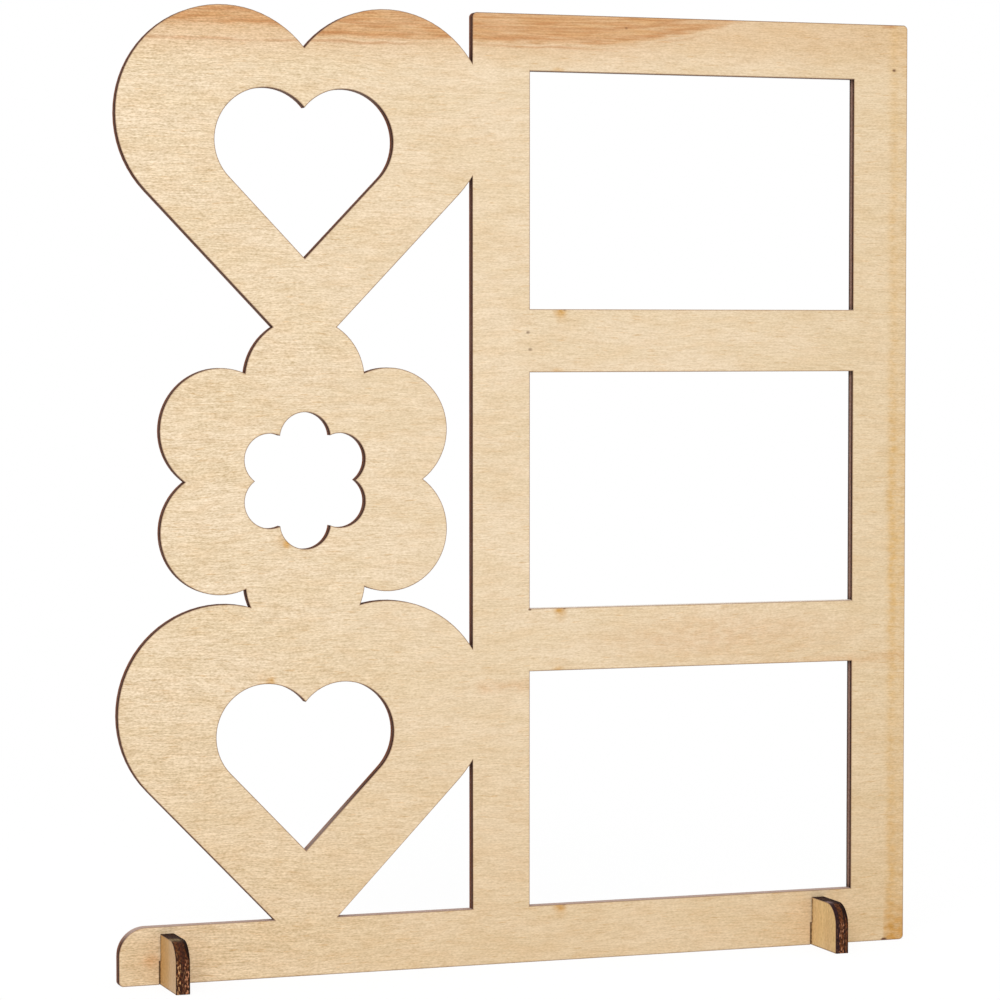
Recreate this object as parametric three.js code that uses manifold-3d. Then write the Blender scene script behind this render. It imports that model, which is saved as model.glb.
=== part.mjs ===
// A laser-cut plywood photo frame that stands on two slotted feet.
//
// One sheet of plywood makes the whole upright: a ladder of photo windows on the right, and on the
// left an openwork column of a heart, a flower and a second heart, which stands on a rail of its
// own. The hearts run into the frame's left stile, and the flower links them. Each foot is a small
// plate of a thicker plywood that crosses the upright at a right angle. A slot in the bottom edge of
// the upright and a slot in the top edge of the foot slide into each other.
//
// Millimetres, +Z up. The upright stands in the XZ plane, its front faces -Y, and the origin is on
// the ground, midway between its left and right ends and in the middle of the sheet.

import * as THREE from "three";
import { mergeVertices } from "three/addons/utils/BufferGeometryUtils.js";
import Module from "manifold-3d";

const wasm = await Module();
wasm.setup();

// The upright's sheet.
const panelThickness = 2.8;
const cornerRadius = 1.2; // on its square outer corners

// The ladder of windows.
const windowCount = 3;
const windowWidth = 90;
const windowHeight = 60;
const windowGap = 16; // the rail between two windows
const endRailHeight = 14.4; // the rails above the top window and below the bottom one
const stileWidth = 15.4; // the upright strips left and right of the windows

// The hearts. Each is two round lobes, and two straight sides that meet in a tip.
const lobeRadius = 27;
const lobeSpread = 21; // from a heart's middle line to the centre of a lobe
const lobeBite = 4; // how far the right-hand lobe runs into the frame's stile
const heartBand = 25; // wood between a heart's outline and its heart-shaped hole, at the lobe
const heartHoleDrop = 6; // how far the hole's lobes lie below the heart's

// The flower. Its petals are circles on a ring, in opposite pairs, with one pair upright.
const petalPairs = 3;
const petalRadius = 15.5;
const petalRing = 25; // from the flower's centre to the centre of a petal
const flowerBand = 23.5; // wood between the tip of a petal and the flower-shaped hole
const petalBite = 4; // how far the lowest petal runs into each lobe of the lower heart
const tipSeat = 11; // how far the upper heart's tip goes down into the highest petal

// The column's own rail, in line with the frame's bottom rail.
const columnRailHeight = 14.4;
const columnRailRadius = 7; // the rounded upper corner of its free end
const tipBury = 8.5; // how far the lower heart's tip goes down into it

// The feet, and the slots that hold them.
const footThickness = 3.6;
const footReach = 15.2; // how far a foot stands out of each face of the upright
const footHeight = 12.6;
const footRadius = 5.5; // the rounded upper corners
const leftFootInset = 12.2; // from the left end of the upright to the middle of the left foot
const rightFootInset = 24.9; // from the right end of the upright to the middle of the right foot
const lapHeight = 5.8; // where the two slots meet, above the ground
const fitGap = 0.15; // play on each side of a slot, and between the ends of two slots

// How finely round stretches are faceted, and how far a cutter stands out of the sheet.
const facetAngle = Math.PI / 36;
const cutterMargin = 5;
const sameplace = 1e-3; // points closer than this are one

// What follows for the frame and the column. The column's left end and the frame's right end are
// as far from the origin.
const frameWidth = windowWidth + 2 * stileWidth;
const frameHeight = windowCount * windowHeight + (windowCount - 1) * windowGap + 2 * endRailHeight;
const heartHalfWidth = lobeSpread + lobeRadius;
const columnWidth = 2 * heartHalfWidth - lobeBite;
const columnLeft = -(columnWidth + frameWidth) / 2;
const columnMiddle = columnLeft + heartHalfWidth;
const frameLeft = columnLeft + columnWidth;
const frameRight = frameLeft + frameWidth;

// The column is as high as the frame. The hearts share what the flower and the joints leave.
const petalStep = Math.PI / petalPairs;
const petalReach = petalRing + petalRadius;
const lobesToPetal = Math.sqrt((lobeRadius + petalRadius - petalBite) ** 2 - lobeSpread ** 2);
const lowerTip = columnRailHeight - tipBury;
const lobesToUpperTip = lobesToPetal + petalRing + petalReach - tipSeat;
const tipDrop = (frameHeight - lobeRadius - lobesToUpperTip - lowerTip) / 2;
const lowerHeartHeight = lowerTip + tipDrop;
const flowerHeight = lowerHeartHeight + lobesToPetal + petalRing;
const upperHeartHeight = frameHeight - lobeRadius;

// Where each foot stands.
const footMiddles = {
  foot_left: columnLeft + leftFootInset,
  foot_right: frameRight - rightFootInset,
};

// The points of an arc, anticlockwise from one angle to the other.
function arc(x, z, radius, from, to) {
  const count = Math.max(2, Math.ceil((to - from) / facetAngle));
  const points = [];
  for (let i = 0; i <= count; i++) {
    const angle = from + ((to - from) * i) / count;
    points.push(new THREE.Vector2(x + radius * Math.cos(angle), z + radius * Math.sin(angle)));
  }
  return points;
}

// A rectangle. Its radii are those of its corners, anticlockwise from the lower left one.
function rectangle(left, bottom, width, height, radii = [0, 0, 0, 0]) {
  const [lowerLeft, lowerRight, upperRight, upperLeft] = radii;
  const right = left + width;
  const top = bottom + height;
  const quarter = Math.PI / 2;
  return [
    ...arc(left + lowerLeft, bottom + lowerLeft, lowerLeft, 2 * quarter, 3 * quarter),
    ...arc(right - lowerRight, bottom + lowerRight, lowerRight, 3 * quarter, 4 * quarter),
    ...arc(right - upperRight, top - upperRight, upperRight, 0, quarter),
    ...arc(left + upperLeft, top - upperLeft, upperLeft, quarter, 2 * quarter),
  ];
}

// A heart about the point midway between its lobes' centres. Each straight side is a tangent of its
// lobe, so the outline has corners only at the tip and in the cleft.
function heart(x, z, scale = 1) {
  const radius = lobeRadius * scale;
  const spread = lobeSpread * scale;
  const drop = tipDrop * scale;
  const slope = Math.atan2(drop, spread) - Math.asin(radius / Math.hypot(drop, spread));
  const touch = slope - Math.PI / 2;
  const cleft = Math.acos(Math.min(1, spread / radius));
  return [
    new THREE.Vector2(x, z - drop),
    ...arc(x + spread, z, radius, touch, Math.PI - cleft),
    ...arc(x - spread, z, radius, cleft, Math.PI - touch),
  ];
}

// A flower about its centre. Each petal's arc runs from the valley before it to the valley after.
function flower(x, z, scale = 1) {
  const radius = petalRadius * scale;
  const ring = petalRing * scale;
  const sweep = petalStep / 2 + Math.asin(Math.min(1, (ring * Math.sin(petalStep / 2)) / radius));
  const points = [];
  for (let i = 0; i < 2 * petalPairs; i++) {
    const heading = Math.PI / 2 + i * petalStep;
    const petalX = x + ring * Math.cos(heading);
    const petalZ = z + ring * Math.sin(heading);
    points.push(...arc(petalX, petalZ, radius, heading - sweep, heading + sweep));
  }
  return points;
}

// A foot seen from the side, with its slot in the middle of the top edge.
function footOutline() {
  const half = footReach + panelThickness / 2;
  const slotHalf = panelThickness / 2 + fitGap;
  const slotFloor = lapHeight - fitGap;
  return [
    new THREE.Vector2(-half, 0),
    new THREE.Vector2(half, 0),
    ...arc(half - footRadius, footHeight - footRadius, footRadius, 0, Math.PI / 2),
    new THREE.Vector2(slotHalf, footHeight),
    new THREE.Vector2(slotHalf, slotFloor),
    new THREE.Vector2(-slotHalf, slotFloor),
    new THREE.Vector2(-slotHalf, footHeight),
    ...arc(footRadius - half, footHeight - footRadius, footRadius, Math.PI / 2, Math.PI),
  ];
}

// A plate of this outline, standing in the XZ plane with its thickness centred on Y = 0.
function plate(points, thickness) {
  const distinct = points.filter((point, i) => point.distanceTo(points.at(i - 1)) > sameplace);
  const shape = new THREE.Shape(distinct);
  const geometry = new THREE.ExtrudeGeometry(shape, { depth: thickness, bevelEnabled: false });
  return geometry.translate(0, 0, -thickness / 2).rotateX(Math.PI / 2);
}

// A closed geometry as a solid that can be joined and cut.
function toSolid(geometry) {
  geometry.deleteAttribute("normal");
  geometry.deleteAttribute("uv");
  const merged = mergeVertices(geometry);
  return new wasm.Manifold(
    new wasm.Mesh({
      numProp: 3,
      vertProperties: new Float32Array(merged.attributes.position.array),
      triVerts: new Uint32Array(merged.index.array),
    }),
  );
}

// A solid as a geometry with flat-shaded faces.
function toGeometry(solid) {
  const mesh = solid.getMesh();
  const shared = new THREE.BufferGeometry();
  shared.setAttribute("position", new THREE.BufferAttribute(mesh.vertProperties, 3));
  shared.setIndex(new THREE.BufferAttribute(mesh.triVerts, 1));
  const flat = shared.toNonIndexed();
  flat.computeVertexNormals();
  return flat;
}

// The outlines that the upright's wood is joined from.
function uprightOutlines() {
  const frameCorners = [cornerRadius, cornerRadius, cornerRadius, cornerRadius];
  const railCorners = [cornerRadius, 0, 0, columnRailRadius];
  const railWidth = columnWidth + stileWidth / 2;
  return [
    rectangle(frameLeft, 0, frameWidth, frameHeight, frameCorners),
    rectangle(columnLeft, 0, railWidth, columnRailHeight, railCorners),
    heart(columnMiddle, lowerHeartHeight),
    flower(columnMiddle, flowerHeight),
    heart(columnMiddle, upperHeartHeight),
  ];
}

// The outlines of what is cut out of it: the windows, the holes in the motifs and the foot slots.
function uprightCuts() {
  const cuts = [];
  for (let i = 0; i < windowCount; i++) {
    const sill = endRailHeight + i * (windowHeight + windowGap);
    cuts.push(rectangle(frameLeft + stileWidth, sill, windowWidth, windowHeight));
  }
  const heartHoleScale = 1 - heartBand / heartHalfWidth;
  for (const height of [lowerHeartHeight, upperHeartHeight]) {
    cuts.push(heart(columnMiddle, height - heartHoleDrop, heartHoleScale));
  }
  cuts.push(flower(columnMiddle, flowerHeight, 1 - flowerBand / petalReach));
  const slotWidth = footThickness + 2 * fitGap;
  for (const middle of Object.values(footMiddles)) {
    const slotLeft = middle - slotWidth / 2;
    cuts.push(rectangle(slotLeft, -cutterMargin, slotWidth, cutterMargin + lapHeight));
  }
  return cuts;
}

function framePanel() {
  const wood = uprightOutlines().map((points) => toSolid(plate(points, panelThickness)));
  const cutterThickness = panelThickness + 2 * cutterMargin;
  const cutters = uprightCuts().map((points) => toSolid(plate(points, cutterThickness)));
  const joined = wood.reduce((sum, next) => sum.add(next));
  return toGeometry(cutters.reduce((rest, cutter) => rest.subtract(cutter), joined));
}

// A foot stands in the YZ plane, centred on X = 0.
function footPlate() {
  return plate(footOutline(), footThickness).rotateZ(Math.PI / 2);
}

const panelPlywood = new THREE.MeshStandardMaterial({ color: 0xead3b0, roughness: 0.62, metalness: 0 });
const footPlywood = new THREE.MeshStandardMaterial({ color: 0xdcb98a, roughness: 0.62, metalness: 0 });

const photoFrame = new THREE.Group();

const panel = new THREE.Mesh(framePanel(), panelPlywood);
panel.name = "photo_panel";
photoFrame.add(panel);

for (const [name, middle] of Object.entries(footMiddles)) {
  const foot = new THREE.Mesh(footPlate(), footPlywood);
  foot.name = name;
  foot.position.x = middle;
  photoFrame.add(foot);
}

export default photoFrame;
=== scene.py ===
"""Looks of a laser-cut plywood photo frame on two slotted feet.

Three laser-cut plates: an upright with photo windows and an openwork column, and two feet of a
thicker sheet. Each plate is rebuilt here from the outline of its solid, with the fine edge
rounding, glue lines and scorched rim that the laser leaves, and dressed in procedural plywood.
"""

import math

import bmesh
import bpy
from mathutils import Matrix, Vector
from mathutils.geometry import tessellate_polygon


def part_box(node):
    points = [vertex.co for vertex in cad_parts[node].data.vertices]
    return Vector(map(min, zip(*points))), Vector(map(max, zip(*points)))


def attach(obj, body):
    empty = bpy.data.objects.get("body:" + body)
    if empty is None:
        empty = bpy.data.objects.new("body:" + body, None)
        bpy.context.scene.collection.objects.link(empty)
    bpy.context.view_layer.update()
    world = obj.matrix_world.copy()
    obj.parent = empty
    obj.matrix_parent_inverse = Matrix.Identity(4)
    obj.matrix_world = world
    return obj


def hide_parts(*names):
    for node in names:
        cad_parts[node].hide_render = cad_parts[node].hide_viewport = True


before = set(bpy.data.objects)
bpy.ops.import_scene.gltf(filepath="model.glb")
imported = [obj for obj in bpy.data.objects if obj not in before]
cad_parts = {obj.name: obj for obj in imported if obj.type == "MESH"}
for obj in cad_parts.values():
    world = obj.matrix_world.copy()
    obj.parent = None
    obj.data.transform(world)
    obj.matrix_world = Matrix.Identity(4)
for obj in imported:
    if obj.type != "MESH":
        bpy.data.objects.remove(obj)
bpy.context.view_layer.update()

MM = 0.001
X, Y, Z = Vector((1, 0, 0)), Vector((0, 1, 0)), Vector((0, 0, 1))

# The plates' edges, in metres.
EDGE_ROUNDING = 0.15 * MM  # the worn corner between a face and a cut edge
SCORCH_WIDTH = 0.2 * MM  # the browned rim of a face, inside the rounding
VENEER_SHARE = 0.285  # of a sheet's thickness, for each outer ply
GLUE_GROOVE = 0.06 * MM  # depth and half width of the groove at a glue line
GLUE_PLACE = 1 - 2 * VENEER_SHARE  # from 0 in the middle of a sheet to 1 at its faces
MITRE_LIMIT = 2.0  # how far a corner may be drawn in, in widths of the strip beside it
TURN_BACK = 0.001  # a corner whose two directions add up to less than this turns right back

# How a solid is read and how its plate is shaded.
MERGE_DISTANCE = 0.001 * MM  # corners that are this close are one
FACING = 0.99  # the least cosine between the direction of a face and that of its triangles
SHARP_ANGLE = math.radians(35)  # surfaces that meet more sharply are shaded apart
FACE, CUT = 0, 1  # the places of a plate's two materials

# Roughness, specular level and relief in metres, of the faces and of the two kinds of cut.
FACE_FINISH = (0.62, 0.25, 0.02 * MM)
PANEL_CUT_FINISH = (0.65, 0.04, 0.05 * MM)
FOOT_CUT_FINISH = (0.75, 0.08, 0.08 * MM)

# The photograph's camera.
CAMERA_PLACE = (-0.3208, -0.8729, 0.1600)
CAMERA_HEADING = math.radians(19.798)  # to the right of straight at the frame
CAMERA_PITCH = math.radians(-2.587)
CAMERA_LENS = 131.945
CAMERA_SENSOR = 36.0
CAMERA_NEAR = 0.05
CAMERA_FAR = 50.0

# The stage and its light, in metres.
FLOOR_COLOUR = (0.95, 0.95, 0.95, 1.0)
FLOOR_RADIUS = 1.0
FLOOR_DROP = 0.02 * MM  # how far it lies below the feet
FLOOR_FADE = (0.15, 0.5)  # the distances from the middle between which it thins out to nothing
FLOOR_SHARE = 0.1  # how solid it is near the object
FLOOR_LIFT = 0.22  # what its own brightness lacks of white
WORLD_COLOUR = (1.0, 1.0, 1.0, 1.0)
WORLD_LIGHT = 0.71  # how strong the white surround is as a light
SOFTBOX_PLACE = (-0.7, -1.3, 1.1)
SOFTBOX_TARGET = (0.0, 0.0, 0.12)
SOFTBOX_SIZE = 0.9
SOFTBOX_POWER = 12.0

# The panel's box in metres, and from here on millimetres, for places on the panel and the feet.
PANEL_LOW, PANEL_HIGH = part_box("photo_panel")
PANEL_TOP = PANEL_HIGH.z / MM
PANEL_LEFT = PANEL_LOW.x / MM
PANEL_RIGHT = PANEL_HIGH.x / MM
PANEL_HALF = PANEL_HIGH.y / MM  # half its thickness
ROUND_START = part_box("foot_left")[1].y / MM - 5.8  # where a foot's rounded corners begin
FOOT_TURN = (-12.0, -8.0)  # where a foot's front tone gives way to its tone by the panel
GROUND_LEVEL = 1.0  # corners of a foot that are lower stand on the ground
CORNER_CHAR = 1.6  # how far the char in a window's corner reaches up or down
WINDOW_RESIN = 8.2  # from a window's left edge to the resin that ran across its rails
COLUMN_RESIN = ((-63.2, 108.0), (-67.6, 74.0))  # across and up
PIN_KNOTS = ((0.5, 160.5), (1.1, 156.2), (102.6, 229.0))  # across and up


def linear(red, green, blue):
    """A colour given as it shows on screen, from 0 to 255, as Blender wants it."""

    def channel(value):
        share = value / 255
        return share / 12.92 if share <= 0.04045 else ((share + 0.055) / 1.055) ** 2.4

    return (channel(red), channel(green), channel(blue), 1.0)


# Colours of the veneers. The tones multiply, to darken the panel towards its bottom and its right end.
PANEL_PALE = linear(240, 217, 184)
PANEL_TAN = linear(236, 212, 176)
LOW_TONE = (0.9, 0.84, 0.75, 1.0)
RIGHT_TONE = (0.95, 0.93, 0.88, 1.0)
FOOT_PINK = linear(205, 170, 130)
FOOT_BROWN = linear(193, 149, 91)
FOOT_GOLD = linear(216, 181, 125)
FOOT_BRIGHT = linear(226, 191, 134)
OCHRE = linear(214, 166, 100)
BAND_GOLD = linear(220, 170, 82)
RESIN = linear(212, 158, 76)
# Soot and painted contact shade, beside a foot's slot and along its bottom edge.
SOOT_AND_CONTACT_SHADE = linear(108, 72, 38)
KNOT = linear(96, 52, 28)
STREAK_WASH = linear(218, 168, 114)
STREAK_LINE = linear(194, 132, 80)
SCORCH = linear(150, 112, 84)

# Colours of the cut edges.
CHAR = linear(44, 26, 20)
BLACK_CHAR = linear(22, 10, 8)
BURNT_BROWN = linear(84, 44, 28)
BURNT_RED = linear(102, 56, 28)
PURPLE_CHAR = linear(54, 34, 38)
BACK_TAN = linear(150, 86, 46)
BACK_OLIVE = linear(82, 64, 52)
CORE_BROWN = linear(98, 66, 54)
CORE_MAUVE = linear(150, 118, 104)
# Ash with painted sheen on cuts that face up, and a painted reflection of the pale floor on cuts that
# face down.
LOW_ASH_AND_SHEEN = linear(198, 172, 160)
HIGH_ASH_AND_SHEEN = linear(252, 238, 224)
FLOOR_REFLECTION_GREY = linear(142, 120, 108)
OLIVE_ASH_AND_SHEEN = linear(152, 130, 94)
PINK_ASH_AND_SHEEN = linear(158, 132, 132)
FLECK = linear(236, 178, 122)
PINK_FLECK = linear(212, 146, 108)

# The heartwood at the panel's top edge, in millimetres.
STREAK_LOW = 233.7  # its lower edge
STREAK_LIFT = 2.4  # how much higher the edge is at the left end
STREAK_LIFTED = (-70.0, -52.0)  # where the lift runs out
STREAK_TURN = 20.0  # from here on the edge climbs towards the right
STREAK_CLIMB = 0.028  # times the distance to the power of 1.5
WASH_WEAKENS = (35.0, 70.0)  # where the streak's wash goes down to half
LINES_END = (25.0, 60.0)  # where the lines along it fade out
FAINT_RISE = (225.0, 237.0)  # the heights between which the faint wash sets in
FAINT_WEAKENS = (20.0, 45.0)  # where it goes down to three fifths, towards the right


class Nodes:
    """Short ways to build the node tree of a material or a world."""

    def __init__(self, name, kind=bpy.data.materials):
        self.owner = kind.new(name)
        self.owner.use_nodes = True
        self.tree = self.owner.node_tree
        self.tree.nodes.clear()

    def add(self, kind, **settings):
        node = self.tree.nodes.new(kind)
        for key, value in settings.items():
            setattr(node, key, value)
        return node

    def feed(self, socket, value):
        """Links an output to a socket, or sets the socket to a plain value."""
        if isinstance(value, bpy.types.NodeSocket):
            self.tree.links.new(value, socket)
        else:
            socket.default_value = value

    def math(self, operation, first, second=0.0, third=0.0, clamp=False):
        node = self.add("ShaderNodeMath", operation=operation, use_clamp=clamp)
        for socket, value in zip(node.inputs, (first, second, third)):
            self.feed(socket, value)
        return node.outputs[0]

    def combine(self, x, y, z):
        node = self.add("ShaderNodeCombineXYZ")
        for socket, value in zip(node.inputs, (x, y, z)):
            self.feed(socket, value)
        return node.outputs[0]

    def noise(self, vector, detail=2.0):
        node = self.add("ShaderNodeTexNoise", noise_dimensions="3D")
        self.feed(node.inputs["Vector"], vector)
        node.inputs["Scale"].default_value = 1.0
        node.inputs["Detail"].default_value = detail
        return node.outputs["Fac"]

    def axes(self):
        """The place in millimetres, as x, y and z."""
        split = self.add("ShaderNodeSeparateXYZ")
        self.feed(split.inputs[0], self.add("ShaderNodeTexCoord").outputs["Object"])
        return [self.math("DIVIDE", output, MM) for output in split.outputs]

    def attribute(self, name):
        return self.add("ShaderNodeAttribute", attribute_name=name).outputs["Fac"]

    def seen(self):
        """1 for rays that show what they meet: straight to the camera, in a gloss, through glass."""
        rays = self.add("ShaderNodeLightPath").outputs
        either = self.math("MAXIMUM", rays["Is Camera Ray"], rays["Is Glossy Ray"])
        return self.math("MAXIMUM", either, rays["Is Transmission Ray"])

    def bell(self, value, centre, reach):
        """1 where a value is at the centre, falling smoothly to 0 at this distance from it."""
        off = self.math("ABSOLUTE", self.math("SUBTRACT", value, centre))
        return self.step(off, 0.0, reach, 1.0, 0.0)

    def step(self, value, low, high, to_low=0.0, to_high=1.0):
        """A smooth step of a value, from to_low at low to to_high at high."""
        node = self.add("ShaderNodeMapRange", interpolation_type="SMOOTHSTEP")
        for socket, given in zip(node.inputs, (value, low, high, to_low, to_high)):
            self.feed(socket, given)
        return node.outputs[0]

    def mix(self, factor, first, second, blend="MIX"):
        node = self.add("ShaderNodeMix", data_type="RGBA", blend_type=blend)
        self.feed(node.inputs["Factor"], factor)
        self.feed(node.inputs["A"], first)
        self.feed(node.inputs["B"], second)
        return node.outputs["Result"]

    def output(self, colour, height, finish):
        """The surface, with its relief from a height map that runs from 0 to 1."""
        roughness, specular, relief = finish
        bump = self.add("ShaderNodeBump")
        bump.inputs["Strength"].default_value = 1.0
        bump.inputs["Distance"].default_value = relief
        self.feed(bump.inputs["Height"], height)
        shader = self.add("ShaderNodeBsdfPrincipled")
        shader.inputs["Roughness"].default_value = roughness
        shader.inputs["Specular IOR Level"].default_value = specular
        self.feed(shader.inputs["Base Color"], colour)
        self.feed(shader.inputs["Normal"], bump.outputs["Normal"])
        end = self.add("ShaderNodeOutputMaterial")
        self.feed(end.inputs["Surface"], shader.outputs["BSDF"])
        return self.owner


# Plywood


def veneer(make, along, across, side, pale, tan, strength):
    """A sliced veneer, whose grain runs along the first coordinate, with lengths in millimetres.

    It gives the colour of the wood between its fibres, the fibres' own light and dark to multiply
    that by, and their height. side tells the two veneers of a sheet apart, so that they don't show
    the same figure, and strength is how strongly the fibres show."""

    def figure(length, width, seed, detail=0.0, at=across):
        seed = make.math("MULTIPLY_ADD", side, 7.3, seed)
        place = make.combine(make.math("DIVIDE", along, length), make.math("DIVIDE", at, width), seed)
        return make.noise(place, detail)

    def bend(value, amount, by):
        return make.math("MULTIPLY_ADD", make.math("SUBTRACT", by, 0.5), amount, value)

    bent = bend(bend(across, 4.0, figure(50, 16, 1.0)), 0.6, figure(9, 4, 2.0))
    cloud = make.step(figure(22, 6, 3.0, 3.0, bent), 0.34, 0.66)
    colour = make.mix(cloud, pale, tan)
    warm = make.step(figure(8, 2.2, 8.0, 2.0, bent), 0.42, 0.72, 0.0, 0.14)
    dashes = make.step(figure(4, 0.35, 6.0, 1.0, bent), 0.63, 0.77, 0.0, 0.45)
    colour = make.mix(make.math("MAXIMUM", warm, dashes), colour, OCHRE)
    short = figure(0.75, 0.27, 4.0, 1.0, bent)
    long = figure(4.5, 0.3, 5.0, 1.0, bent)
    height = make.math("MULTIPLY_ADD", long, 0.42, make.math("MULTIPLY", short, 0.58))
    light = make.math("MULTIPLY", make.math("SUBTRACT", height, 0.5), strength)
    fibres = make.combine(*[make.math("MULTIPLY_ADD", light, gain, 1.0) for gain in (1.0, 1.15, 1.5)])
    return colour, fibres, height


def mineral_streaks(make, x, z, colour):
    """The brown heartwood along the panel's top edge, which runs out of it towards the right."""

    def wander(length, width, seed):
        place = make.combine(make.math("DIVIDE", x, length), make.math("DIVIDE", z, width), seed)
        return make.math("SUBTRACT", make.noise(place, 2.0), 0.5)

    # Height above the streak's lower edge, and the same where the edge is lifted at the left end.
    run = make.math("MAXIMUM", make.math("SUBTRACT", x, STREAK_TURN), 0.0)
    climb = make.math("MULTIPLY", make.math("POWER", run, 1.5), STREAK_CLIMB)
    height = make.math("SUBTRACT", make.math("SUBTRACT", z, climb), STREAK_LOW)
    height = make.math("MULTIPLY_ADD", wander(9.0, 3.0, 30.0), 1.6, height)
    inside = make.math("SUBTRACT", height, make.step(x, *STREAK_LIFTED, STREAK_LIFT, 0.0))

    # A patchy wash with fine dark lines in it, over a faint one that begins below the streak.
    streaky = make.step(wander(12.0, 0.45, 31.0), -0.12, 0.14, 0.0, 0.8)
    patchy = make.step(wander(13.0, 1.6, 32.0), -0.15, 0.15, 0.45, 0.9)
    soft = make.math("MULTIPLY_ADD", wander(5.0, 0.5, 34.0), 1.4, inside)
    wash = make.math("MULTIPLY", make.step(soft, -0.9, 0.9), patchy)
    wash = make.math("MULTIPLY", wash, make.step(x, *WASH_WEAKENS, 1.0, 0.5))
    faint = make.step(z, *FAINT_RISE, 0.0, make.step(x, *FAINT_WEAKENS, 0.5, 0.3))
    colour = make.mix(faint, colour, STREAK_WASH)
    colour = make.mix(wash, colour, STREAK_WASH)
    colour = make.mix(make.math("MULTIPLY", wash, streaky), colour, STREAK_LINE)

    # Three broken lines along the streak: two inside it and one just below its edge.
    for level, where, reach, amount in (
        (0.9, inside, 0.9, 0.6),
        (3.6, inside, 0.6, 0.6),
        (-1.3, height, 0.6, 0.5),
    ):
        there = make.step(wander(16.0, 2.0, 36.0 + level), -0.2, 0.1)
        line = make.math("MULTIPLY", make.bell(where, level, reach), there)
        line = make.math("MULTIPLY", line, make.step(x, *LINES_END, amount, 0.0))
        colour = make.mix(line, colour, STREAK_LINE)
    return colour


def right_band(make, x, z, blur, colour):
    """A band of darker wood down the panel's right edge."""
    wobble = make.noise(make.combine(0.0, 0.0, make.math("DIVIDE", z, 14.0)), 2.0)
    edge = make.math("MULTIPLY_ADD", wobble, 3.0, x)
    band = make.step(edge, PANEL_RIGHT - 5.0, PANEL_RIGHT - 2.5, 0.0, 0.6)
    band = make.math("MULTIPLY_ADD", make.bell(edge, PANEL_RIGHT - 2.2, 1.8), 0.4, band)
    strong = make.step(z, 15.0, 60.0, 0.5, 0.3)
    strong = make.math("MULTIPLY_ADD", make.bell(z, 105.0, 60.0), 0.3, strong)
    band = make.math("MULTIPLY", band, strong)
    return make.mix(make.math("MULTIPLY", band, blur), colour, BAND_GOLD)


def faint_streak(make, x, z, blur, colour):
    """A faint streak across the panel's lower part, a little higher towards the right."""
    rise = make.math("MULTIPLY_ADD", x, -0.043, z)
    faint = make.math("MULTIPLY", make.bell(rise, 71.0, 2.4), blur)
    faint = make.math("MULTIPLY", faint, make.step(x, -15.0, -12.0, 0.0, 0.35))
    return make.mix(faint, colour, STREAK_WASH)


def corner_resin(make, x, z, blur, colour):
    """A resin patch in the panel's lower right corner, with a straight left edge."""
    patch = make.step(x, PANEL_RIGHT - 6.2, PANEL_RIGHT - 5.2)
    patch = make.math("MULTIPLY", patch, make.step(z, 1.0, 13.0, 0.75, 0.0))
    return make.mix(make.math("MULTIPLY", patch, blur, clamp=True), colour, RESIN)


def stains(make, x, z, blur, colour):
    """Resin, soft stains and pin knots, each with its middle and its reach along and up."""

    def stain(base, tint, amount, centre, reach):
        off = make.combine(
            make.math("DIVIDE", make.math("SUBTRACT", x, centre[0]), reach[0]),
            0.0,
            make.math("DIVIDE", make.math("SUBTRACT", z, centre[1]), reach[1]),
        )
        length = make.add("ShaderNodeVectorMath", operation="LENGTH")
        make.feed(length.inputs[0], off)
        mask = make.step(length.outputs["Value"], 0.1, 1.0, amount, 0.0)
        return make.mix(make.math("MULTIPLY", mask, blur, clamp=True), base, tint)

    # Resin ran down across the window rails, past a knot at each sill, and in the column.
    for low_corner, high_corner in WINDOWS:
        resin = low_corner.x + WINDOW_RESIN
        colour = stain(colour, RESIN, 0.9, (resin, low_corner.y - 0.7), (2.6, 1.9))
        colour = stain(colour, RESIN, 0.25, (resin + 0.3, low_corner.y - 2.4), (2.6, 2.0))
        colour = stain(colour, RESIN, 0.5, (resin - 0.5, high_corner.y + 0.3), (2.6, 1.3))
        colour = stain(colour, KNOT, 0.9, (resin + 1.2, low_corner.y - 0.1), (0.7, 0.45))
    for x_place, z_place in COLUMN_RESIN:
        colour = stain(colour, OCHRE, 0.3, (x_place - 1.0, z_place + 0.8), (3.6, 3.2))
        colour = stain(colour, RESIN, 0.9, (x_place, z_place), (1.9, 1.5))

    # Wood that is a little darker, in wide and faint patches.
    colour = stain(colour, STREAK_WASH, 0.3, (55.0, 82.0), (50.0, 10.0))
    colour = stain(colour, OCHRE, 0.4, (-67.5, 205.0), (2.6, 24.0))
    colour = stain(colour, OCHRE, 0.25, (-64.5, 47.0), (2.4, 20.0))
    colour = stain(colour, STREAK_LINE, 0.7, (PANEL_RIGHT - 5.4, PANEL_TOP - 0.4), (3.0, 0.9))
    colour = stain(colour, STREAK_WASH, 0.6, (-98.0, 6.0), (4.0, 2.6))

    # Knots: like pinheads, then a faint one, a large one in the corner and a dark one on a rail.
    for place in PIN_KNOTS:
        colour = stain(colour, KNOT, 0.9, place, (0.8, 0.6))
    colour = stain(colour, KNOT, 0.7, (27.1, 237.9), (0.7, 0.4))
    colour = stain(colour, KNOT, 1.6, (PANEL_RIGHT - 5.6, 0.2), (1.3, 0.8))
    return stain(colour, KNOT, 1.2, (1.0, 90.2), (0.7, 0.5))


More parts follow.
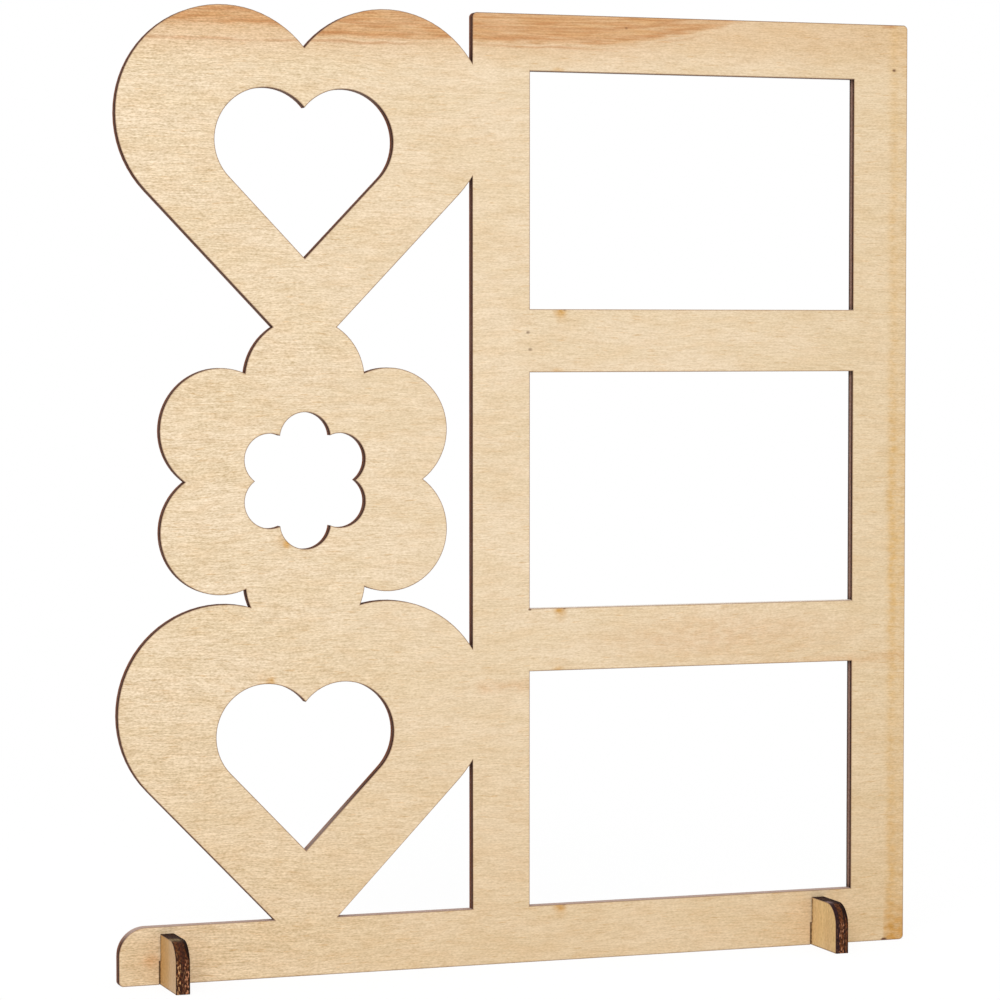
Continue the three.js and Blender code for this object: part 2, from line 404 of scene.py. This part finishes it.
def panel_face():
    """The panel's veneers. The front one has the mineral streaks, stains and pin knots."""
    make = Nodes("panel_face")
    x, _, z = make.axes()
    depth = make.attribute("depth")
    side = make.math("SIGN", depth)
    strength = make.step(x, PANEL_LEFT, 10.0, 1.4, 0.75)
    clean, fibres, height = veneer(make, x, z, side, PANEL_PALE, PANEL_TAN, strength)
    colour = mineral_streaks(make, x, z, clean)
    blur = make.noise(make.combine(make.math("DIVIDE", x, 2.5), make.math("DIVIDE", z, 1.5), 40.0), 3.0)
    blur = make.step(blur, 0.3, 0.7, 0.5, 1.2)
    for add_mark in (right_band, faint_streak, corner_resin, stains):
        colour = add_mark(make, x, z, blur, colour)
    front = make.math("LESS_THAN", depth, 0.0)
    colour = make.mix(front, clean, colour)

    # Darker and browner towards the bottom and the right end.
    low = make.step(z, -40.0, 110.0, 1.0, 0.0)
    colour = make.mix(low, colour, LOW_TONE, "MULTIPLY")
    right = make.step(x, 40.0, PANEL_RIGHT, 0.0, 1.0)
    colour = make.mix(right, colour, RIGHT_TONE, "MULTIPLY")
    return finish_face(make, colour, fibres, height)


def foot_face(name, by_panel, in_front):
    """A foot's veneers, whose grain stands upright, with one tone by the panel and one in front.

    Soot and painted contact shade line the foot's slot, and the face is darker along its bottom edge."""
    make = Nodes(name)
    x, y, z = make.axes()

    # The feet stand at different places along the panel, so each shows a figure of its own.
    side = make.math("SIGN", make.attribute("depth"))
    seed = make.math("ADD", side, make.math("DIVIDE", x, 40.0))
    front = make.step(y, *FOOT_TURN, 1.0, 0.0)
    tan = make.mix(front, by_panel, in_front)
    pale = make.mix(0.25, tan, FOOT_PINK)
    colour, fibres, height = veneer(make, z, y, seed, pale, tan, 1.1)

    # Soot and painted contact shade beside the slot, broken up along its height, and darker along the
    # bottom edge.
    broken = make.noise(make.combine(0.0, side, make.math("DIVIDE", z, 1.1)), 2.0)
    broken = make.step(broken, 0.35, 0.6, 0.35, 1.0)
    from_panel = make.math("SUBTRACT", make.math("ABSOLUTE", y), PANEL_HALF)
    beside = make.step(z, SLOT_FLOOR, SLOT_FLOOR + 0.6, 0.0, 0.5)
    from_panel = make.math("SUBTRACT", from_panel, beside)
    slot_soot_and_shade = make.math("MULTIPLY", make.step(from_panel, 0.3, 1.0, 0.9, 0.0), broken)
    bottom = make.step(z, 0.1, 0.5, 0.7, 0.0)
    colour = make.mix(make.math("MAXIMUM", slot_soot_and_shade, bottom), colour, SOOT_AND_CONTACT_SHADE)
    return finish_face(make, colour, fibres, height)


def finish_face(make, colour, fibres, height):
    """Adds the fibres and the browned rim along the cuts."""
    colour = make.mix(1.0, colour, fibres, "MULTIPLY")
    scorch = make.math("POWER", make.attribute("scorch"), 2.0)
    colour = make.mix(make.math("MULTIPLY", scorch, 0.8), colour, SCORCH)
    return make.output(colour, height, FACE_FINISH)


def cut_figures(make):
    """A maker of noise on a cut edge, with a size along X, one along Y and a stretch upwards."""
    place = make.axes()

    def figure(size, size_along_y, detail=2.0, tall=1.0):
        sizes = (size, size_along_y, size * tall)
        parts = [make.math("DIVIDE", value, length) for value, length in zip(place, sizes)]
        return make.noise(make.combine(*parts), detail)

    return figure


def upward(make):
    """How far a surface faces up, from -1 to 1."""
    split = make.add("ShaderNodeSeparateXYZ")
    make.feed(split.inputs[0], make.add("ShaderNodeNewGeometry").outputs["Normal"])
    return split.outputs["Z"]


def panel_edge():
    """The panel's cuts: a dark front ply, a greyer core and back ply, ash with painted sheen on the
    sills, and a painted reflection on the undersides.
    """
    make = Nodes("panel_edge")
    figure = cut_figures(make)
    depth = make.attribute("depth")
    window = make.attribute("window")
    grey = make.math("MAXIMUM", make.step(figure(14.0, 14.0), 0.45, 0.7, 0.0, 0.25), window)
    blobs = make.step(figure(0.7, 1.3), 0.35, 0.65)
    front = make.mix(make.math("MULTIPLY", blobs, 0.6), CHAR, BURNT_BROWN)
    core = make.mix(grey, CORE_BROWN, CORE_MAUVE)
    core = make.mix(make.math("MULTIPLY", blobs, 0.35), core, BURNT_BROWN)
    back = make.mix(grey, BACK_TAN, BACK_OLIVE)
    back = make.mix(make.math("MULTIPLY", blobs, 0.25), back, CHAR)
    colour = make.mix(make.step(depth, -GLUE_PLACE - 0.1, 0.1 - GLUE_PLACE), front, core)
    colour = make.mix(make.step(depth, GLUE_PLACE - 0.1, GLUE_PLACE + 0.1), colour, back)

    # The beam dwelt in the right-hand corners of the windows.
    x, _, z = make.axes()
    right_edge = WINDOWS[0][1].x
    corner = make.step(x, right_edge - 0.6, right_edge - 0.2)
    dwelt = 0.0
    for low_corner, high_corner in WINDOWS:
        for height in (low_corner.y, high_corner.y):
            dwelt = make.math("MAXIMUM", dwelt, make.bell(z, height, CORNER_CHAR))
    dwelt = make.math("MULTIPLY", make.math("MULTIPLY", corner, dwelt), window)
    outer_plies = make.step(make.math("ABSOLUTE", depth), GLUE_PLACE - 0.1, GLUE_PLACE + 0.1, 0.4, 1.0)
    colour = make.mix(make.math("MULTIPLY", dwelt, outer_plies), colour, BLACK_CHAR)

    # Ash and painted sheen on the window sills and on the column's rail, with more painted sheen on the
    # upper sills.
    ash_and_sheen = make.mix(make.step(z, 20.0, 80.0), LOW_ASH_AND_SHEEN, HIGH_ASH_AND_SHEEN)
    ash_and_sheen_mask = make.math("MAXIMUM", window, make.step(z, 30.0, 50.0, 1.0, 0.0))
    facing = upward(make)
    ash_and_sheen_mask = make.math("MULTIPLY", ash_and_sheen_mask, make.step(facing, 0.4, 0.95, 0.0, 0.85))
    colour = make.mix(ash_and_sheen_mask, colour, ash_and_sheen)
    # Painted reflection of the pale floor: a greyer tone on cuts that face down.
    colour = make.mix(make.step(facing, -0.95, -0.5, 0.5, 0.0), colour, FLOOR_REFLECTION_GREY)
    return make.output(colour, blobs, PANEL_CUT_FINISH)


def foot_edge(name, bands, ash_and_sheen, ash_and_sheen_end):
    """A foot's cuts, whose plies stand side by side.

    Each band is where it starts, from -1 at the left face to 1 at the right one, its colour, and
    the colour and amount of its flecks. The ash and painted sheen on the top end at the last argument,
    on the same scale."""
    make = Nodes(name)
    figure = cut_figures(make)
    depth = make.attribute("depth")
    _, y, z = make.axes()
    ragged = make.math("MULTIPLY_ADD", make.math("SUBTRACT", figure(0.5, 0.5), 0.5), 0.4, depth)
    shade = make.step(figure(0.5, 0.5, 3.0, 1.6), 0.38, 0.6)
    flecks = make.step(figure(0.28, 0.28, 1.0, 3.0), 0.55, 0.6)
    low = make.step(z, 7.0, 9.0, 1.0, 0.15)
    colour = CHAR
    for start, tone, fleck, amount in bands:
        there = make.math("MULTIPLY", make.math("MULTIPLY", flecks, low), amount)
        band = make.mix(make.math("MULTIPLY", shade, 0.8), tone, CHAR)
        band = make.mix(there, band, fleck)
        colour = make.mix(make.step(ragged, start - 0.05, start + 0.05), colour, band)

    # Char and painted shade on the top, char along the right rim of the round, and ash with painted
    # sheen where the round begins.
    facing = upward(make)
    colour = make.mix(make.step(facing, 0.93, 0.99, 0.0, 0.85), colour, CHAR)
    begins = make.bell(make.math("ABSOLUTE", y), ROUND_START, 2.6)
    ash_and_sheen_mask = make.math("MULTIPLY", begins, make.step(ragged, ash_and_sheen_end - 0.3, ash_and_sheen_end + 0.3, 0.9, 0.0))
    ash_and_sheen_mask = make.math("MULTIPLY", ash_and_sheen_mask, make.step(facing, 0.8, 0.95))
    ash_and_sheen_mask = make.math("MULTIPLY", ash_and_sheen_mask, make.step(figure(1.1, 1.1), 0.35, 0.6, 0.5, 1.0))
    colour = make.mix(ash_and_sheen_mask, colour, ash_and_sheen)
    rim = make.math("MULTIPLY_ADD", make.bell(facing, 0.7, 0.6), 0.45, ragged)
    colour = make.mix(make.step(rim, 0.8, 0.95, 0.0, 0.9), colour, BLACK_CHAR)
    height = make.math("MULTIPLY_ADD", flecks, 0.5, shade)
    return make.output(colour, height, FOOT_CUT_FINISH)


# Plates


def outlines_of(node, across, up, depth):
    """The outlines of the face of a solid that looks against depth, the longest one first.

    Each is a closed list of points (along across, along up), with the wood on its left as seen
    from in front."""
    cad = bmesh.new()
    cad.from_mesh(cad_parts[node].data)
    bmesh.ops.remove_doubles(cad, verts=cad.verts, dist=MERGE_DISTANCE)
    cad.normal_update()
    following = {}
    for face in cad.faces:
        if face.normal.dot(depth) > -FACING:
            continue
        for loop in face.loops:
            other = loop.link_loop_radial_next.face
            if other.normal.dot(depth) > -FACING:
                following[loop.vert] = loop.link_loop_next.vert
    outlines = []
    while following:
        start, point = following.popitem()
        points = [start.co.copy()]
        while point is not start:
            points.append(point.co.copy())
            point = following.pop(point)
        outlines.append([Vector((co.dot(across), co.dot(up))) for co in points])
    cad.free()
    return sorted(outlines, key=perimeter, reverse=True)


def perimeter(points):
    """The length of a closed outline."""
    return sum((point - points[i - 1]).length for i, point in enumerate(points))


def is_window(points):
    """The windows are the only outlines with just four corners."""
    return len(points) == 4


def inward(points):
    """For each point of an outline, the move that draws it one unit into the wood."""
    moves = []
    for i, point in enumerate(points):
        before = (point - points[i - 1]).normalized()
        after = (points[(i + 1) % len(points)] - point).normalized()
        middle = before + after
        middle = middle.normalized() if middle.length > TURN_BACK else after
        side = Vector((-middle.y, middle.x))
        lean = max(side.dot(Vector((-after.y, after.x))), 1 / MITRE_LIMIT)
        moves.append(side / lean)
    return moves


def edge_profile(thickness):
    """(inset, depth, scorch) across a cut edge, from the front face's wood to the back's."""
    half = thickness / 2
    corner = EDGE_ROUNDING * (1 - math.sqrt(0.5))
    glue = half * GLUE_PLACE
    front = [
        (EDGE_ROUNDING + SCORCH_WIDTH, -half, 0.0),
        (EDGE_ROUNDING, -half, 1.0),
        (corner, corner - half, 1.0),
        (0.0, EDGE_ROUNDING - half, 1.0),
        (0.0, -glue - GLUE_GROOVE, 1.0),
        (GLUE_GROOVE, -glue, 1.0),
        (0.0, GLUE_GROOVE - glue, 1.0),
    ]
    return front + [(inset, -depth, scorch) for inset, depth, scorch in reversed(front)]


def add_rings(mesh, points, profile, in_space):
    """A ring of corners round an outline for each step of the edge profile."""
    layers = mesh.verts.layers.float
    half = profile[-1][1]
    moves = inward(points)
    rings = []
    for inset, along, scorch in profile:
        ring = []
        for point, move in zip(points, moves):
            vert = mesh.verts.new(in_space(point + move * inset, along))
            vert[layers["scorch"]] = scorch
            vert[layers["depth"]] = along / half
            vert[layers["window"]] = 1.0 if is_window(points) else 0.0
            ring.append(vert)
        rings.append(ring)
    return rings


def add_strips(mesh, rings):
    """The strips between the rings of an outline. The two at each end belong to the faces."""
    last = len(rings) - 2
    for i in range(last + 1):
        here, there = rings[i], rings[i + 1]
        material = FACE if i in (0, 1, last - 1, last) else CUT
        for k in range(len(here)):
            corners = (here[k - 1], there[k - 1], there[k], here[k])
            mesh.faces.new(corners).material_index = material


def add_flat(mesh, rings, across, up):
    """The flat part of a face, between one ring of each outline."""
    verts = [vert for ring in rings for vert in ring]
    flat = [[Vector((v.co.dot(across), v.co.dot(up), 0.0)) for v in ring] for ring in rings]
    for triangle in tessellate_polygon(flat):
        mesh.faces.new([verts[i] for i in triangle]).material_index = FACE


def plate(name, node, across, up, depth, body, materials):
    """A plywood plate in place of a solid: faces, rounded and grooved cut edges, scorched rims."""
    low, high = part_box(node)
    centre = ((low + high) / 2).dot(depth)
    profile = edge_profile(abs((high - low).dot(depth)))

    def in_space(place, along):
        return across * place.x + up * place.y + depth * (centre + along)

    mesh = bmesh.new()
    for layer in ("scorch", "depth", "window"):
        mesh.verts.layers.float.new(layer)
    outlines = outlines_of(node, across, up, depth)
    rows = [add_rings(mesh, points, profile, in_space) for points in outlines]
    for rings in rows:
        add_strips(mesh, rings)
    for end in (0, -1):
        add_flat(mesh, [rings[end] for rings in rows], across, up)
    bmesh.ops.recalc_face_normals(mesh, faces=mesh.faces)
    data = bpy.data.meshes.new(name)
    mesh.to_mesh(data)
    mesh.free()
    for material in materials:
        data.materials.append(material)
    data.shade_smooth()
    data.set_sharp_from_angle(angle=SHARP_ANGLE)
    piece = bpy.data.objects.new(name, data)
    bpy.context.scene.collection.objects.link(piece)
    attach(piece, body)
    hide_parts(node)


def slot_floor(node):
    """The height of a foot's slot floor in millimetres: its lowest corners above the ground."""
    heights = [corner.co.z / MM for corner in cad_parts[node].data.vertices]
    return min(height for height in heights if height > GROUND_LEVEL)


# The slot's floor, and each window's lower left and upper right corner, in millimetres.
SLOT_FLOOR = slot_floor("foot_left")
WINDOWS = [
    (min(points, key=sum) / MM, max(points, key=sum) / MM)
    for points in outlines_of("photo_panel", X, Z, Y)
    if is_window(points)
]

# The bands of the feet's cuts, from left to right.
LEFT_FOOT_BANDS = (
    (-0.88, BURNT_RED, FLECK, 0.8),
    (-0.35, BURNT_BROWN, FLECK, 0.15),
    (0.3, BURNT_RED, PINK_FLECK, 0.8),
    (0.82, CHAR, FLECK, 0.2),
)
RIGHT_FOOT_BANDS = (
    (-0.93, PURPLE_CHAR, PINK_FLECK, 0.1),
    (-0.4, BURNT_RED, PINK_FLECK, 0.6),
    (0.3, CHAR, PINK_FLECK, 0.1),
    (0.5, BURNT_RED, PINK_FLECK, 0.2),
)

panel_materials = [panel_face(), panel_edge()]
left_materials = [
    foot_face("left_foot_face", FOOT_BROWN, FOOT_PINK),
    foot_edge("left_foot_edge", LEFT_FOOT_BANDS, OLIVE_ASH_AND_SHEEN, 0.4),
]
right_materials = [
    foot_face("right_foot_face", FOOT_BRIGHT, FOOT_GOLD),
    foot_edge("right_foot_edge", RIGHT_FOOT_BANDS, PINK_ASH_AND_SHEEN, -0.3),
]

plate("plywood_panel", "photo_panel", X, Z, Y, "panel", panel_materials)
plate("plywood_foot_left", "foot_left", -Y, Z, X, "left_foot", left_materials)
plate("plywood_foot_right", "foot_right", -Y, Z, X, "right_foot", right_materials)


# Stage, light and camera


def floor_material():
    """A pale floor that takes the object's soft shadow, and is thin enough to look through.

    The feet come off downwards, so they would be lost to sight below a solid one. Where it is
    seen, the bare floor is lifted to plain white."""
    make = Nodes("studio_floor")
    clear = make.add("ShaderNodeBsdfTransparent")
    pale = make.add("ShaderNodeBsdfDiffuse")
    pale.inputs["Color"].default_value = FLOOR_COLOUR
    glow = make.add("ShaderNodeEmission")
    make.feed(glow.inputs["Strength"], make.math("MULTIPLY", make.seen(), FLOOR_LIFT))
    lifted = make.add("ShaderNodeAddShader")
    make.feed(lifted.inputs[0], pale.outputs["BSDF"])
    make.feed(lifted.inputs[1], glow.outputs["Emission"])
    distance = make.add("ShaderNodeVectorMath", operation="LENGTH")
    make.feed(distance.inputs[0], make.add("ShaderNodeTexCoord").outputs["Object"])
    mix = make.add("ShaderNodeMixShader")
    make.feed(mix.inputs["Fac"], make.step(distance.outputs["Value"], *FLOOR_FADE, FLOOR_SHARE, 0.0))
    make.feed(mix.inputs[1], clear.outputs["BSDF"])
    make.feed(mix.inputs[2], lifted.outputs["Shader"])
    end = make.add("ShaderNodeOutputMaterial")
    make.feed(end.inputs["Surface"], mix.outputs["Shader"])
    return make.owner


def add_floor():
    """A disc that fades out well before its rim."""
    disc = bmesh.new()
    bmesh.ops.create_circle(disc, cap_ends=True, segments=96, radius=FLOOR_RADIUS)
    data = bpy.data.meshes.new("studio_floor")
    disc.to_mesh(data)
    disc.free()
    data.materials.append(floor_material())
    floor = bpy.data.objects.new("studio_floor", data)
    floor.location.z = -FLOOR_DROP
    bpy.context.scene.collection.objects.link(floor)


def add_softbox():
    """The one lamp, in front of the object, to its left and above it."""
    lamp = bpy.data.lights.new("key_softbox", "AREA")
    lamp.shape = "SQUARE"
    lamp.size = SOFTBOX_SIZE
    lamp.energy = SOFTBOX_POWER
    holder = bpy.data.objects.new("key_softbox", lamp)
    aim = Vector(SOFTBOX_TARGET) - Vector(SOFTBOX_PLACE)
    holder.location = SOFTBOX_PLACE
    holder.rotation_euler = aim.to_track_quat("-Z", "Y").to_euler()
    bpy.context.scene.collection.objects.link(holder)


def set_world():
    """An even white surround: plain white where it is seen, and a little darker as a light."""
    make = Nodes("studio", bpy.data.worlds)
    bpy.context.scene.world = make.owner
    background = make.add("ShaderNodeBackground")
    background.inputs["Color"].default_value = WORLD_COLOUR
    make.feed(background.inputs["Strength"], make.step(make.seen(), 0.0, 1.0, WORLD_LIGHT, 1.0))
    end = make.add("ShaderNodeOutputWorld")
    make.feed(end.inputs["Surface"], background.outputs["Background"])


def add_camera():
    data = bpy.data.cameras.new("photo_camera")
    data.lens = CAMERA_LENS
    data.sensor_width = CAMERA_SENSOR
    data.clip_start = CAMERA_NEAR
    data.clip_end = CAMERA_FAR
    camera = bpy.data.objects.new("photo_camera", data)
    camera.location = CAMERA_PLACE
    camera.rotation_euler = (math.pi / 2 + CAMERA_PITCH, 0.0, -CAMERA_HEADING)
    bpy.context.scene.collection.objects.link(camera)
    bpy.context.scene.camera = camera


add_floor()
set_world()
add_softbox()
add_camera()
bpy.context.scene.view_settings.view_transform = "Standard"
